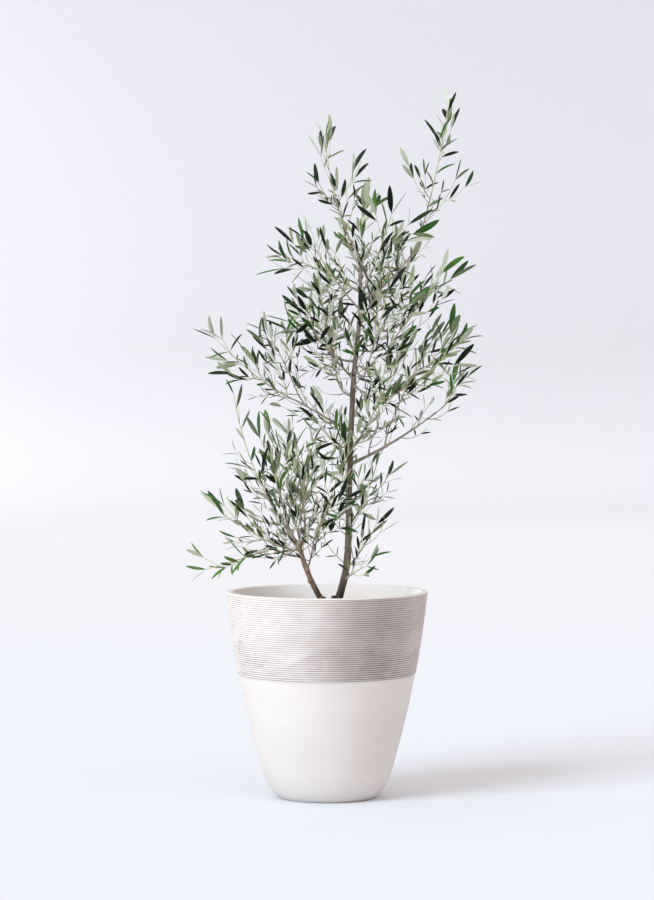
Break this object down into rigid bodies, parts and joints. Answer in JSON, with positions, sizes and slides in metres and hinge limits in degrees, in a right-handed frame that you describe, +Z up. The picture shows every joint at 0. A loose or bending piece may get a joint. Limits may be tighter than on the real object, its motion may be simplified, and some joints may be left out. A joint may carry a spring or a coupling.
{
  "type": "potted olive tree",
  "caption": "Young two-stemmed olive tree with an airy narrow crown of slender leaves, growing in a round tapered pot with a ribbed upper band.",
  "frame": {"origin": "centre of the pot's flat underside", "axes": "+Z up along the pot's axis, -Y towards the front from which the plant is seen, +X to the viewer's right, on the side of the long rising bough"},
  "size_m": [0.4605, 0.4198, 1.0678],
  "materials": {
    "pot_ceramic": "matt, ribbed round the upper band",
    "soil": "loose and matt",
    "bark": "rough grey-brown bark",
    "young_bark": "smoother tan bark",
    "foliage": "leathery leaves, green above and silvery below"
  },
  "bodies": {
    "root": {"pot": "pot_ceramic", "soil": "soil", "trunk": "bark", "second_stem": "young_bark", "leader_bough": "bark", "tall_bough": "bark", "right_bough": "bark", "right_inner_riser": "bark", "right_outer_riser": "bark", "right_mid_bough": "bark", "right_upper_bough": "bark", "left_bough": "bark", "left_riser": "bark", "left_upper_bough": "bark", "front_bough": "bark", "back_bough": "bark", "back_right_bough": "bark", "stem_left_bough": "young_bark", "stem_right_bough": "young_bark", "stem_low_bough": "young_bark", "stem_inner_bough": "young_bark", "stem_back_bough": "young_bark", "leader_foliage": "foliage", "tall_foliage": "foliage", "right_tip_foliage": "foliage", "right_inner_foliage": "foliage", "right_outer_foliage": "foliage", "right_mid_foliage": "foliage", "right_upper_foliage": "foliage", "left_tip_foliage": "foliage", "left_riser_foliage": "foliage", "left_mid_foliage": "foliage", "left_upper_foliage": "foliage", "left_high_foliage": "foliage", "high_left_foliage": "foliage", "high_back_foliage": "foliage", "high_front_foliage": "foliage", "high_right_foliage": "foliage", "front_foliage": "foliage", "back_foliage": "foliage", "back_right_foliage": "foliage", "back_low_foliage": "foliage", "left_low_foliage": "foliage", "low_front_foliage": "foliage", "low_back_foliage": "foliage", "low_right_foliage": "foliage", "low_left_foliage": "foliage", "stem_left_foliage": "foliage", "stem_outer_foliage": "foliage", "stem_side_foliage": "foliage", "stem_right_foliage": "foliage", "stem_low_foliage": "foliage", "stem_inner_foliage": "foliage", "stem_back_foliage": "foliage"}
  },
  "joints": []
}
